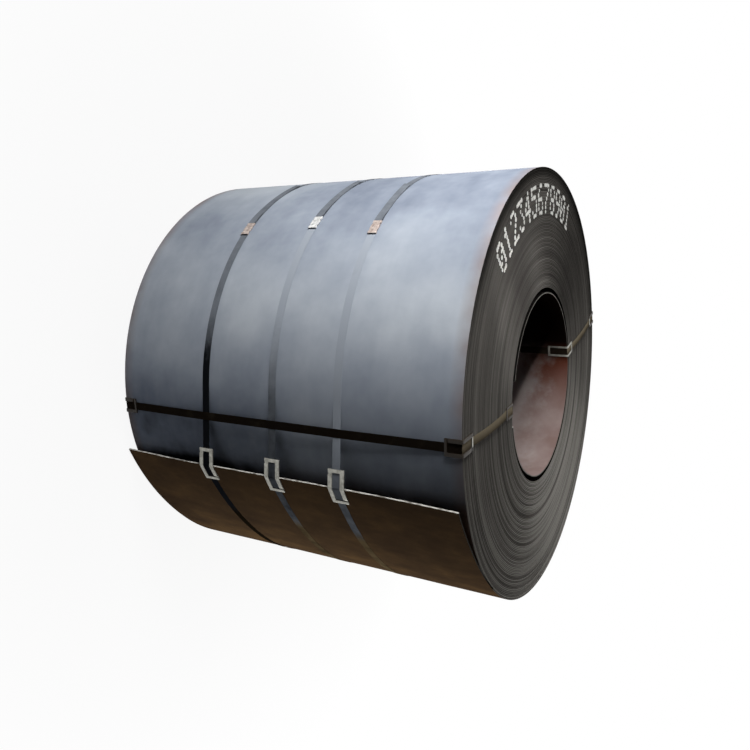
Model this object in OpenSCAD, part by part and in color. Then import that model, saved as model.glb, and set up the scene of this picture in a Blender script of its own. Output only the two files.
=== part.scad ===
// A hot-rolled steel coil, strapped for transport.
// It is drawn lying on its side, with X along the bore, -Y at the front and +Z up, and is then stood on its
// left end. The origin is the middle of the bore.

/* [Coil] */
// Width of the strip, which is the length of the coil
strip_w = 1500; // [1000:10:2000]
// Thickness of the strip
strip_t = 6; // [3:0.5:10]
// Outer diameter of the wound turns
coil_d = 1755; // [1400:5:2100]
// Inner diameter of the loose innermost turn
bore_d = 762; // [700:1:820]
// Room between the loose innermost turn and the wound turns
head_gap = 17; // [8:1:30]
// How far the turns' edges scatter along the axis
edge_scatter = 1.5; // [0:0.1:3]
// Depth of the groove between two turns on the ends
turn_groove = 2.6; // [1:0.1:4]

/* [Strip ends] */
// Angle where the tail leaves the coil, from the rear over the top
tail_angle = 230; // [215:1:245]
// Angle that the sprung tail spans about its own centre
tail_sweep = 22; // [12:0.5:26]
// How much wider the tail's own radius is than the coil's
tail_spring = 472; // [250:1:700]
// Angle where the innermost turn leaves the wound turns
head_angle = 195; // [192:1:205]
// Angle of the free end of the innermost turn, one turn on
head_end_angle = 530; // [525:1:533]
// How much tighter the innermost turn bends where it leaves the wound turns
head_ease = 44; // [34:1:60]

/* [Straps] */
// Width of every strap
strap_w = 32; // [19:1:40]
// Thickness of every strap
strap_t = 0.8; // [0.6:0.05:0.9]
// Place of the left hoop strap along the axis
hoop_left_x = -305; // [-400:5:-200]
// Place of the middle hoop strap along the axis
hoop_middle_x = 12; // [-60:1:80]
// Place of the right hoop strap along the axis
hoop_right_x = 290; // [200:5:400]
// Angle of the front eye strap
eye_front_angle = 185; // [183:0.5:186]
// Angle of the rear eye strap
eye_rear_angle = 15.5; // [5:0.5:60]
// Length of strap that is doubled at a hoop strap's seal
lap_l = 345; // [100:5:420]
// Length of strap that is doubled at an eye strap's seal
eye_lap_l = 150; // [80:5:220]

/* [Seals] */
// Angle of the left hoop's seal
seal_left_angle = 133.5; // [110:0.5:150]
// Angle of the middle hoop's seal
seal_middle_angle = 132; // [110:0.5:150]
// Angle of the right hoop's seal
seal_right_angle = 134.5; // [110:0.5:150]
// Length of a seal along its strap
seal_l = 65; // [40:1:90]
// Thickness of a seal's sheet
seal_t = 1.2; // [0.8:0.1:2]
// Radius of the crimp notches in a seal's edges
crimp_r = 3.5; // [2:0.1:4]

/* [Edge protectors] */
// Width of a tail edge protector
tail_guard_w = 66; // [60:1:90]
// Length of each leg of a tail edge protector
tail_guard_leg = 70; // [50:1:100]
// Thickness of a tail edge protector's plate
tail_guard_t = 2; // [1:0.1:3]
// Length of the bar at each end of a tail edge protector
tail_guard_bar = 13; // [8:0.5:20]
// Length of the slot beside a bar, where the strap slips in
slot_l = 7; // [4:0.5:10]
// Thickness of the bars
bar_t = 1.5; // [1:0.1:3]
// Width of an outer rim protector
rim_guard_w = 60; // [48:1:90]
// Length of an outer rim protector's leg along the coil
rim_guard_leg = 60; // [40:1:100]
// Length of an outer rim protector's leg on the end
rim_guard_face_leg = 80; // [50:1:120]
// Width of a bore protector
bore_guard_w = 50; // [44:1:60]
// Length of a bore protector's leg in the bore
bore_guard_leg = 90; // [50:1:140]
// Length of a bore protector's leg on the end
bore_guard_face_leg = 70; // [40:1:100]
// Thickness of the rim and bore protectors
guard_t = 0.6; // [0.5:0.05:0.65]
// Length of the bars at the ends of the rim and bore protectors
guard_bar = 9; // [6:0.5:14]

/* [Fits] */
// Gap between pieces that are pressed together
seat = 0.05; // [0.02:0.01:0.08]
// Gap between a bore protector and the wall that it follows
bore_seat = 0.3; // [0.25:0.05:0.35]
// Room beside a strap in its seal or protector
side_room = 0.5; // [0.2:0.1:1]

/* [Hidden] */
$fn = 240;
coil_r = coil_d / 2;
bore_r = bore_d / 2;
head_r = bore_r + strip_t;
wound_r = head_r + head_gap;
half_w = strip_w / 2;
// Depth by which a strip end is let into the turns that it grows from
root = 0.4;

// The wound turns as they show on an end
turns = round((coil_r - wound_r) / strip_t);
pitch = (coil_r - wound_r) / turns;
scatter_step = 137.5;

// The tail is an arc about its own centre
tail_r = coil_r + tail_spring;
tail_c = (coil_r - root - tail_r) * unit(tail_angle);
tail_edge = tail_angle - tail_sweep;

// The innermost turn leaves on a tighter arc until it meets its own circle
lead_r = wound_r - head_ease;
lead_off = head_ease + root;
lead_c = lead_off * unit(head_angle);
lead_sweep = acos((pow(head_r, 2) - pow(lead_off, 2) - pow(lead_r, 2)) / (2 * lead_off * lead_r));
lead_turn = atan2(lead_r * sin(lead_sweep), lead_off + lead_r * cos(lead_sweep));
lead_lap = 1;

// A hoop strap bends over the protector on the tail edge, then runs straight to the coil
guard_lift = tail_guard_t + seat;
guard_low = tail_edge + deg(tail_guard_leg, tail_r);
ramp_l = 40;
ramp_low = guard_low + deg(ramp_l, tail_r);
bend = tail_c + (tail_r + seat + guard_lift) * unit(tail_edge);
bend_angle = (atan2(bend[1], bend[0]) + 360) % 360;
touch_angle = bend_angle - acos(coil_r / norm(bend));
// Depth and angle by which outlines that meet cross each other
cross = 0.15;
cross_turn = 1;

// Eye straps lie over their protectors on the ends and at the outer rim, and in the bore
end_lift = guard_t + 2 * seat;
bore_lift = bore_seat + guard_t + seat;
// Height that a rim protector leaves for its strap to rise towards the hoop straps
rise = 1.6;

seal_w = strap_w + 2 * (side_room + seal_t);
notch_step = seal_l / 4;
channel_w = strap_w + 2 * side_room;

EYES = [["front", eye_front_angle, wound_r], ["rear", eye_rear_angle, bore_r]];
HOOPS = [
    ["left", hoop_left_x, seal_left_angle],
    ["middle", hoop_middle_x, seal_middle_angle],
    ["right", hoop_right_x, seal_right_angle]
];
SIDES = [["left", -1], ["right", 1]];

function unit(a) = [cos(a), sin(a)];
function deg(l, r) = l / r * 180 / PI;
function scatter(i) = edge_scatter * (1 + sin(i * scatter_step)) / 2;
// Where a strap that is lifted by o turns the bend over the tail edge
function mitre(o) = bend + o * (unit(tail_edge) + unit(touch_angle)) / (1 + cos(tail_edge - touch_angle));
// Height of an eye strap's underside over the hoop straps, from the axis
function over_hoops(a) =
    let (d = a > touch_angle && a < bend_angle ? a - touch_angle : 0)
    (coil_r + strap_t + 3 * seat + strap_w / 2 * sin(d)) / cos(d);

// Turns a shape drawn about Z so that Z lies along the coil's axis
module along_axis() rotate([90, 0, 90]) children();

// Stands the lying coil on its left end
module upright() rotate([0, -90, 0]) children();

// Plane sector between two angles, out to radius r
module sector(from, to, r) {
    mid = (from + to) / 2;
    reach = r / cos((to - from) / 2);
    polygon([[0, 0], reach * unit(from), 1.1 * reach * unit(mid), reach * unit(to)]);
}

// Curved plate between two radii and two angles about Z
module curved_plate(r1, r2, from, to, l) {
    rotate_extrude(start = from, angle = to - from)
        translate([r1, -l / 2]) square([r2 - r1, l]);
}

module wound_turns() {
    end = [
        for (i = [0 : turns - 2])
            each [
                [wound_r + i * pitch, half_w - turn_groove],
                [wound_r + (i + 0.5) * pitch, half_w - scatter(i)]
            ],
        [coil_r - pitch, half_w - turn_groove],
        [coil_r - pitch * 0.7, half_w],
        [coil_r, half_w]
    ];
    other_end = [for (i = [len(end) - 1 : -1 : 0]) [end[i][0], -end[i][1]]];
    rotate_extrude() polygon(concat(end, other_end));
}

module coil() color("slategray") along_axis() {
    wound_turns();
    translate(tail_c) curved_plate(tail_r - strip_t, tail_r, tail_edge, tail_angle, strip_w);
    translate(lead_c)
        curved_plate(lead_r - strip_t, lead_r, head_angle, head_angle + lead_sweep + lead_lap, strip_w);
    curved_plate(bore_r, head_r, head_angle + lead_turn - lead_lap, head_end_angle, strip_w);
}

// Outline of all that a hoop strap goes around, grown by o
module hoop_outline(o) {
    circle(coil_r + o);
    translate(tail_c) {
        intersection() {
            circle(tail_r + o);
            sector(tail_edge, tail_angle, tail_r + o);
        }
        intersection() {
            circle(tail_r + guard_lift + o);
            sector(tail_edge, guard_low, tail_r + guard_lift + o);
        }
        polygon([
            [0, 0],
            (tail_r + guard_lift + o - cross) * unit(guard_low - cross_turn / 10),
            (tail_r + o - cross) * unit(ramp_low)
        ]);
    }
    polygon([
        [0, 0],
        (coil_r + o - cross) * unit(touch_angle - cross_turn),
        mitre(o - seat + cross),
        tail_c + (tail_r - strip_t) * unit(tail_edge + cross_turn)
    ]);
}

module hoop_strap(x, seal_angle) color("dimgray") along_axis()
    translate([0, 0, x - strap_w / 2]) linear_extrude(strap_w) {
        difference() {
            hoop_outline(seat + strap_t);
            hoop_outline(seat);
        }
        lap(seal_angle);
    }

// The strap's upper end, doubled under the seal and above it
module lap(seal_angle) {
    r = coil_r + seat + strap_t;
    from = seal_angle - deg(lap_l - seal_l / 2, coil_r);
    to = seal_angle + deg(seal_l / 2, coil_r) + lead_lap;
    intersection() {
        difference() {
            circle(r + strap_t);
            circle(r - seat);
        }
        sector(from, to, r + strap_t);
    }
}

// A sheet sleeve folded over the doubled strap, with crimp notches in its edges
module hoop_seal(x, seal_angle) color("silver") along_axis() translate([0, 0, x]) {
    base = coil_r + 2 * seat;
    top = coil_r + 2 * strap_t + 3 * seat;
    half = deg(seal_l / 2, coil_r);
    difference() {
        curved_plate(base, top + seal_t, seal_angle - half, seal_angle + half, seal_w);
        curved_plate(base - seal_t, top, seal_angle - 2 * half, seal_angle + 2 * half, channel_w);
        for (i = [-1, 1], s = [-1, 1])
            rotate(seal_angle + i * deg(notch_step, coil_r))
                translate([base - seal_t, 0, s * (seal_w / 2 + crimp_r / 2)])
                    rotate([0, 90, 0]) cylinder(r = crimp_r, h = 3 * seal_t + top - base);
    }
}

// Sets which part of a protector's bent strip its profile draws: the heights that it lies between, how much
// shorter its legs are, and the leg if only one is drawn
module strip(low, high, cut = 0, leg = 0) {
    $low = low;
    $high = high;
    $cut = cut;
    $leg = leg;
    children();
}

// What is cut from a bent block of width w to leave a plate of thickness t with raised rails, and at each end
// a bar that the strap passes under. A bar joins one rail; free_ends lists each leg and the side of its bar's
// free end.
module strap_way(w, t, under, bar_l, free_ends) {
    high = 2 * (under + bar_t);
    linear_extrude(channel_w, center = true) {
        strip(t, under, -w) children();
        strip(t, high, bar_l) children();
    }
    for (e = free_ends) translate([0, 0, e[1] * w / 2])
        linear_extrude(w - channel_w + side_room, center = true) difference() {
            union() {
                strip(t, under, -w, e[0]) children();
                strip(t, high, bar_l, e[0]) children();
            }
            strip(0, 2 * high, bar_l + slot_l, e[0]) children();
        }
}

// Bent strip over the tail edge: leg 1 runs straight up, leg 2 follows the tail
module tail_guard_strip() {
    run = (tail_guard_leg - $cut) * unit(touch_angle - 90);
    low = tail_r + seat;
    if ($leg != 1) translate(tail_c) intersection() {
        difference() {
            circle(low + $high);
            circle(low + $low);
        }
        sector(tail_edge, tail_edge + deg(tail_guard_leg - $cut, tail_r), low + $high);
    }
    if ($leg != 2) polygon([
        tail_c + (low + ($low + $high) / 2) * unit(tail_edge + deg(tail_guard_t, tail_r)),
        mitre($low - guard_lift),
        mitre($low - guard_lift) + run,
        mitre($high - guard_lift) + run,
        mitre($high - guard_lift + seat)
    ]);
}

module tail_guard(x) color("darkgray") along_axis() translate([0, 0, x]) difference() {
    under = tail_guard_t + strap_t + side_room;
    linear_extrude(tail_guard_w, center = true) strip(0, under + bar_t) tail_guard_strip();
    strap_way(tail_guard_w, tail_guard_t, under, tail_guard_bar, [[1, -1], [2, 1]]) tail_guard_strip();
}

// Profile of an eye strap over the ends and the outside of the coil
module eye_profile(a, r) {
    out = half_w + end_lift;
    low = r - bore_lift - strap_t / 2;
    rim = coil_r + end_lift;
    top = over_hoops(a);
    x1 = hoop_left_x - strap_w;
    x2 = hoop_right_x + strap_w;
    polygon([
        [out, low], [out, rim], [x2, top], [x1, top], [-out, rim], [-out, low],
        [-out - strap_t, low], [-out - strap_t, rim + strap_t], [x1, top + strap_t],
        [x2, top + strap_t], [out + strap_t, rim + strap_t], [out + strap_t, low]
    ]);
}

module eye_strap(a, r) color("saddlebrown") {
    half = deg(strap_w / 2, r);
    rotate([a - 90, 0, 0]) {
        rotate([90, 0, 0]) linear_extrude(strap_w, center = true) eye_profile(a, r);
        along_axis() curved_plate(
            r - bore_lift - strap_t, r - bore_lift, 90 - half, 90 + half, strip_w + 2 * (end_lift + strap_t)
        );
        translate([-half_w - end_lift - 2 * strap_t, -strap_w / 2, eye_seal_r(r) - seal_l / 2 - lead_lap])
            cube([strap_t + seat, strap_w, eye_lap_l]);
    }
}

function eye_seal_r(r) = (r + coil_r) / 2;

// The seal of an eye strap, on the left end
module eye_seal(a, r) color("silver") {
    in = -half_w - end_lift;
    out = in - 2 * strap_t - seat;
    rotate([a - 90, 0, 0]) translate([0, 0, eye_seal_r(r)]) difference() {
        translate([out - seal_t, -seal_w / 2, -seal_l / 2]) cube([in - out + seal_t, seal_w, seal_l]);
        translate([out, -channel_w / 2, -seal_l]) cube([in - out + seal_t, channel_w, 2 * seal_l]);
        for (i = [-1, 1], s = [-1, 1])
            translate([out - 2 * seal_t, s * (seal_w / 2 + crimp_r / 2), i * notch_step])
                rotate([0, 90, 0]) cylinder(r = crimp_r, h = in - out + 4 * seal_t);
    }
}

// Turns a profile in X and the distance from the axis to the angle a. Side is -1 on the left end and 1 on the
// right end.
module at_rim(a, side) rotate([a - 90, 0, 0]) mirror([side < 0 ? 1 : 0, 0, 0]) rotate([90, 0, 0]) children();

// Bent strip over the outer rim: leg 1 lies on the outside, leg 2 on the end
module rim_guard_strip() {
    x = half_w + seat;
    z = coil_r + seat;
    x1 = x - rim_guard_leg + $cut;
    z1 = z - rim_guard_face_leg + $cut;
    if ($leg != 2) polygon([[x1, z + $low], [x + $high, z + $low], [x + $high, z + $high], [x1, z + $high]]);
    if ($leg != 1) polygon([[x + $low, z1], [x + $high, z1], [x + $high, z + $high], [x + $low, z + $high]]);
}

module rim_guard(a, side) color("rosybrown") at_rim(a, side) difference() {
    under = guard_t + strap_t + rise;
    linear_extrude(rim_guard_w, center = true) strip(0, under + bar_t) rim_guard_strip();
    strap_way(rim_guard_w, guard_t, under, guard_bar, [[1, -1], [2, 1]]) rim_guard_strip();
}

// The rails of a bore protector, which stand on its leg on the end
module bore_guard_strip(r) {
    x = half_w + seat;
    polygon([
        [x + $low, r + guard_bar], [x + $high, r + guard_bar],
        [x + $high, r + bore_guard_face_leg - $cut], [x + $low, r + bore_guard_face_leg - $cut]
    ]);
}

// Bent plate over the bore's rim, which follows the bore, with rails and a bar on its end
module bore_guard(a, r, side) color("gray") {
    out = r - bore_seat;
    half = deg(bore_guard_w / 2, r);
    under = guard_t + strap_t + side_room;
    rotate([a - 90, 0, 0]) mirror([side < 0 ? 1 : 0, 0, 0]) along_axis() {
        translate([0, 0, half_w + (seat + guard_t - bore_guard_leg) / 2])
            curved_plate(out - guard_t, out, 90 - half, 90 + half, bore_guard_leg + seat + guard_t);
        translate([0, 0, half_w + seat]) linear_extrude(guard_t) difference() {
            translate([-bore_guard_w / 2, 0]) square([bore_guard_w, r + bore_guard_face_leg]);
            circle(out - guard_t / 2);
        }
    }
    at_rim(a, side) difference() {
        linear_extrude(bore_guard_w, center = true) strip(guard_t / 2, under + bar_t) bore_guard_strip(r);
        strap_way(bore_guard_w, guard_t, under, guard_bar, [[0, a < 90 ? -1 : 1]]) bore_guard_strip(r);
    }
}

upright() {
    coil();
    for (h = HOOPS) {
        hoop_strap(h[1], h[2]);
        hoop_seal(h[1], h[2]);
        tail_guard(h[1]);
    }
    for (e = EYES) {
        eye_strap(e[1], e[2]);
        eye_seal(e[1], e[2]);
        for (s = SIDES) {
            rim_guard(e[1], s[1]);
            bore_guard(e[1], e[2], s[1]);
        }
    }
}
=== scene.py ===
"""Finish of a strapped hot-rolled steel coil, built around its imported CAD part.

The coil stands on its left end with its bore along Z. Its pieces are worked out as they lie in the
photograph: u runs to the rear, v up and x along the bore, and an angle runs about the bore from the rear
over the top to the front.
"""

import math
from typing import NamedTuple

import bmesh
import bpy
import numpy as np
from bpy.props import FloatProperty, FloatVectorProperty, PointerProperty, StringProperty
from mathutils import Matrix, Vector


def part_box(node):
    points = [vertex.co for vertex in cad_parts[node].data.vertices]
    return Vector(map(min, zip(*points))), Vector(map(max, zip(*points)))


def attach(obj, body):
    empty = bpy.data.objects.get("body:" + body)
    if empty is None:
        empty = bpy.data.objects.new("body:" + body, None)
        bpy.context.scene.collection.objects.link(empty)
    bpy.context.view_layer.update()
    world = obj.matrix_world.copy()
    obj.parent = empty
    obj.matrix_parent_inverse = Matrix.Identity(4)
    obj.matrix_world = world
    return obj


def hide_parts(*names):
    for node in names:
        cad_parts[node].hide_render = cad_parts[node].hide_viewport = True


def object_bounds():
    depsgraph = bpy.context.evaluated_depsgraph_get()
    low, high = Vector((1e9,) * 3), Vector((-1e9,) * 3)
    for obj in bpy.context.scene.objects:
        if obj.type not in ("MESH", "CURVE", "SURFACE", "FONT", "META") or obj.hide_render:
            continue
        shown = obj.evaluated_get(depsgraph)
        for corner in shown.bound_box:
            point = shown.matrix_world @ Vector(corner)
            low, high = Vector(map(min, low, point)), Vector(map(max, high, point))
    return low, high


bl_info = {
    "name": "Strapped Steel Coil",
    "version": (1, 0, 0),
    "blender": (4, 5, 0),
    "location": "View3D > Sidebar > Coil",
    "description": "Builds the finish of a hot-rolled steel coil around its CAD part",
    "category": "Object",
}

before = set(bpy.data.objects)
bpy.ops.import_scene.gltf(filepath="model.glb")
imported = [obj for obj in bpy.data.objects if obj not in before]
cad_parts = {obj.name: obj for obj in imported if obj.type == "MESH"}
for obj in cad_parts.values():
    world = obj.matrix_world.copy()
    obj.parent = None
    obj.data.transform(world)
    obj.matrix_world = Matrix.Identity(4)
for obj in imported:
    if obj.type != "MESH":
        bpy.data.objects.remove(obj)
CAD_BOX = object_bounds()

MM = 0.001
HOOPS = ("left", "middle", "right")
EYES = ("front", "rear")
ENDS = (("left", -1), ("right", 1))
# Rows of a printer with five by seven dots, one number for each row
DIGITS = (
    (14, 17, 19, 21, 25, 17, 14),
    (4, 12, 4, 4, 4, 4, 14),
    (14, 17, 1, 2, 4, 8, 31),
    (31, 2, 4, 2, 1, 17, 14),
    (2, 6, 10, 18, 31, 2, 2),
    (31, 16, 30, 1, 1, 17, 14),
    (6, 8, 16, 30, 17, 17, 14),
    (31, 1, 2, 4, 8, 8, 8),
    (14, 17, 17, 14, 17, 17, 14),
    (14, 17, 17, 15, 1, 2, 12),
)


def labelled(group):
    """Labels each property of a group by its identifier."""
    for key, prop in group.__annotations__.items():
        prop.keywords["name"] = key.replace("_", " ").capitalize()
    return group


def length(description, size):
    """A length property whose default is given in millimetres."""
    return FloatProperty(description=description, default=size * MM, unit="LENGTH", precision=5)


def angle(description, degrees):
    return FloatProperty(description=description, default=math.radians(degrees), subtype="ANGLE")


def power(description, watts):
    return FloatProperty(description=description, default=watts, unit="POWER")


def linear(code):
    """A linear colour from an sRGB hex value."""
    values = [int(code[i : i + 2], 16) / 255 for i in (1, 3, 5)]
    return tuple(v / 12.92 if v <= 0.04045 else ((v + 0.055) / 1.055) ** 2.4 for v in values) + (1.0,)


def colour(description, code):
    return FloatVectorProperty(
        description=description, default=linear(code), subtype="COLOR", size=4, min=0.0, max=1.0
    )


def middle(node):
    low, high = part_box(node)
    return (low + high) / 2


def angle_of(node):
    """Angle about the bore at which a node lies."""
    place = middle(node)
    return math.atan2(-place.x, place.y) % (2 * math.pi)


@labelled
class CoilSizes(bpy.types.PropertyGroup):
    """Sizes of the wound strip"""

    width: length("Length of the coil along its bore", (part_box("coil")[1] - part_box("coil")[0]).z / MM)
    strip: length("Thickness of the strip", 6)
    radius: length("Radius of the wound turns", 877.5)
    bore: length("Inner radius of the loose innermost turn", 381)
    wound: length("Inner radius of the tight turns", 404)
    root: length("Depth by which a strip end is let into the turns that it grows from", 0.4)
    tail_angle: angle("Where the tail leaves the coil", 230)
    tail_sweep: angle("Angle that the tail spans about its own centre", 22)
    tail_spring: length("How much wider the tail bends than the coil", 472)
    tail_flare: length("How far the tail's right corner stands out, and its left corner in", 12)
    flare_start: length("Distance from the middle at which the tail starts to lean", 320)
    head_angle: angle("Where the innermost turn leaves the tight turns", 195)
    head_end: angle("Angle of the innermost turn's free end", 530)
    head_ease: length("How much tighter the innermost turn bends at first", 44)
    scatter: length("How far the turns' edges lie apart along the bore", 1.8)
    groove: length("Depth of the gap between two turns on the ends", 3.2)


@labelled
class StrapSizes(bpy.types.PropertyGroup):
    """Sizes of the straps and their seals"""

    width: length("Width of every strap", 32)
    thickness: length("Thickness of every strap", 0.8)
    seat: length("Gap between pieces that are pressed together", 0.05)
    lap: length("Length of a hoop strap's doubled end above the middle of its seal", 312)
    lap_lift: length("How far the doubled end stands off the strap below it", 5)
    lap_slant: length("How much longer one edge of the doubled end is than the other", 14)
    eye_lap: length("Length of an eye strap's doubled end on the left end", 150)
    eye_lead: length("How far that end reaches past its seal towards the bore", 1)
    bow: length("How far an eye strap stands off the coil's right end", 8)
    seal_length: length("Length of a seal along its strap", 65)
    seal_height: length("How far a hoop strap's seal stands off the coil", 6.5)
    seal_sheet: length("Thickness of a seal's sheet", 1.2)


@labelled
class GuardSizes(bpy.types.PropertyGroup):
    """Sizes of the hooked protectors"""

    tail_width: length("Width of a protector on the tail's edge", 66)
    tail_leg: length("Length of each of its legs", 70)
    tail_sheet: length("Thickness of its plate", 2)
    tail_bar: length("Length of the bar at each of its ends", 13)
    rim_width: length("Width of a protector at the outer rim", 60)
    rim_leg: length("Length of its leg along the coil", 60)
    rim_face: length("Length of its leg on the end", 80)
    rim_rise: length("Room for the strap to rise under its bars", 1.6)
    bore_width: length("Width of a protector at the rim of the bore", 50)
    bore_leg: length("Length of its leg in the bore", 90)
    bore_face: length("Length of its leg on the end", 70)
    bore_seat: length("Gap between a bore protector and the wall", 0.3)
    sheet: length("Thickness of the rim and bore protectors", 0.6)
    bar: length("Length of the bars of the rim and bore protectors", 9)
    bar_sheet: length("Thickness of every bar", 1.5)
    slot: length("Length of the slot beside a bar, where the strap slips in", 7)
    room: length("Room beside and over a strap", 0.5)
    ramp: length("Length over which a strap comes down behind a tail protector", 40)


@labelled
class CountSizes(bpy.types.PropertyGroup):
    """The count that is sprayed on the right end"""

    digits: StringProperty(description="Plain digits, in the order of spraying", default="012345678901")
    inner: length("Radius of the digits' feet", 706)
    outer: length("Radius of the digits' heads", 808)
    start: angle("Angle of the first digit", 137)
    end: angle("Angle of the last digit", 69)
    dot: length("Diameter of a dot of paint", 18.5)


@labelled
class Finishes(bpy.types.PropertyGroup):
    """Colours of the metals and the paint"""

    # Tones of the mill scale: the black one is painted shade, and the painted light and shade on the scale
    # push its tone towards the darker or paler ones
    scale_black: colour("Where the scale is black, low at the front", "#25272b")
    scale_dark: colour("Darker clouds of the mill scale", "#767e8d")
    scale: colour("Mill scale on the outer turn", "#99a1ae")
    scale_pale: colour("Paler clouds of the mill scale", "#bcc3cb")
    scale_worn: colour("Where the scale has worn off along the rims", "#8f7f7a")
    oxide_dark: colour("Darker clouds of the brown tail", "#382c23")
    oxide: colour("Brown oxide of the tail", "#4b3b2b")
    oxide_pale: colour("Ochre stains of the tail", "#675035")
    edge_dark: colour("Darker edges of the turns", "#2f2d2b")
    edge: colour("Mill edges of the turns", "#5f5c58")
    edge_pale: colour("Paler edges of the turns", "#8c8983")
    # Near black painted as shade in the gaps between turns, on the innermost turn's outside and in the bore's
    # upper part; the dark rim of an end takes it too
    gap: colour("Between two turns", "#0d0c0b")
    bore: colour("Oxide on the inside of the bore", "#706562")
    bore_pale: colour("Paler clouds in the bore", "#867e7c")
    rust: colour("Rust at the rims of the bore", "#542a1a")
    sheared: colour("Sheared end of the strip", "#c9c7c0")
    torn: colour("Torn parts of the sheared end", "#6e6a63")
    # The straps' tones follow their wear and also painted light and shade along them
    strap_dark: colour("Blued hoop straps, dark", "#191b1f")
    strap_pale: colour("Blued hoop straps where they are rubbed", "#a4abb5")
    strap_tint: colour("Brown that the tail has left on the hoop straps", "#ffd496")
    wax_dark: colour("Waxed eye straps, dark", "#251f19")
    wax_pale: colour("Waxed eye straps where they are rubbed", "#7a705e")
    sheet: colour("Bare sheet of the protectors", "#a9a8a0")
    sheet_dark: colour("Dull spots of that sheet", "#84837c")
    browned: colour("Browned sheet of the rim protectors", "#2b241d")
    seal: colour("Seals, dull spots", "#94827a")
    seal_pale: colour("Seals, bright spots", "#cdbfb6")
    silver: colour("Middle seal, dull spots", "#b4b4b2")
    silver_pale: colour("Middle seal, bright spots", "#ececea")
    paint: colour("Marking paint", "#d2d2cd")
    floor: colour("Studio floor", "#e7e7e7")


@labelled
class StageSizes(bpy.types.PropertyGroup):
    """Camera and light"""

    azimuth: angle("The camera's turn round the lying coil", 28.94)
    elevation: angle("The camera's height over the lying coil's axis", 8.37)
    distance: length("From the camera to the middle of the bore", 3251.8)
    lens: FloatProperty(description="Focal length in millimetres", default=33.153)
    key: power("Power of the soft light over the coil", 30)
    fill: power("Power of the soft light before the end", 11)
    bounce: power("Power of the light from the ground", 34)
    inside: power("Power of the spot into the bore", 120)
    ambient: FloatProperty(description="Level of the room's own light", default=0.02)


def stand(u, v, x):
    """Points of the lying coil where they are on the standing one."""
    u, v, x = np.broadcast_arrays(u, v, x)
    return np.stack([-v, u, x], axis=-1).astype(float)


def unit(a):
    return np.stack([np.cos(a), np.sin(a)], axis=-1)


def ring(r, a, x):
    return stand(r * np.cos(a), r * np.sin(a), x)


def ripple(t, seed, waves):
    """Smooth noise from -1 to 1 that repeats with each turn of t; waves are how often each part swings."""
    rng = np.random.default_rng(seed)
    parts = [np.sin(k * np.asarray(t) + rng.uniform(0, 2 * math.pi)) / math.sqrt(k) for k in waves]
    return sum(parts) / sum(1 / math.sqrt(k) for k in waves)


def smooth(t):
    """A soft step from 0 to 1."""
    t = np.clip(t, 0, 1)
    return t * t * (3 - 2 * t)


def hump(t, at, spread):
    """A bell of height 1."""
    return np.exp(-(((t - at) / spread) ** 2))


def between(t, start, rise, end, fall):
    """1 between start and end, with soft flanks inside them."""
    return smooth((t - start) / rise) * smooth((end - t) / fall)


def smooth_shade(mesh, degrees=35):
    mesh.polygons.foreach_set("use_smooth", np.ones(len(mesh.polygons), bool))
    mesh.set_sharp_from_angle(angle=math.radians(degrees))


def make_object(name, points, faces, materials, slots=None):
    """An object at the origin, with its place in its mesh; slots gives each face's material."""
    mesh = bpy.data.meshes.new(name)
    mesh.from_pydata(np.asarray(points).tolist(), [], faces)
    for material in materials:
        mesh.materials.append(material)
    if slots is not None:
        mesh.polygons.foreach_set("material_index", np.asarray(slots, np.int32))
    obj = bpy.data.objects.new(name, mesh)
    bpy.context.scene.collection.objects.link(obj)
    return obj


def turn_outward(mesh):
    work = bmesh.new()
    work.from_mesh(mesh)
    bmesh.ops.remove_doubles(work, verts=work.verts, dist=0.001 * MM)
    bmesh.ops.recalc_face_normals(work, faces=work.faces)
    work.to_mesh(mesh)
    work.free()


def applied(obj):
    """The object's mesh with its modifiers applied; they are removed from it."""
    graph = bpy.context.evaluated_depsgraph_get()
    made = bpy.data.meshes.new_from_object(obj.evaluated_get(graph))
    obj.modifiers.clear()
    return made


def set_attribute(obj, name, values):
    layer = obj.data.attributes.new(name, "FLOAT", "POINT")
    layer.data.foreach_set("value", np.broadcast_to(values, len(obj.data.vertices)).astype(np.float32))


def settle(obj, node):
    """The piece rides on the coil's one body and stands for its CAD node, which it hides."""
    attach(obj, "root")
    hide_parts(node)


def add(tree, kind, inputs=None, stops=(), **settings):
    """Adds a node. A node or socket among its inputs is linked; stops are a ramp's places and colours."""
    node = tree.nodes.new(kind)
    for key, value in settings.items():
        setattr(node, key, value)
    for i, (place, tone) in enumerate(stops):
        marks = node.color_ramp.elements
        mark = marks[i] if i < len(marks) else marks.new(1.0)
        mark.position, mark.color = place, tone
    for key, value in (inputs or {}).items():
        if isinstance(value, bpy.types.Node):
            value = next(o for o in value.outputs if o.enabled)
        if isinstance(value, bpy.types.NodeSocket):
            tree.links.new(value, node.inputs[key])
        else:
            node.inputs[key].default_value = value
    return node


def per(size):
    """Scale of a pattern whose features are about this many millimetres across."""
    return 1 / (size * MM)


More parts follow.
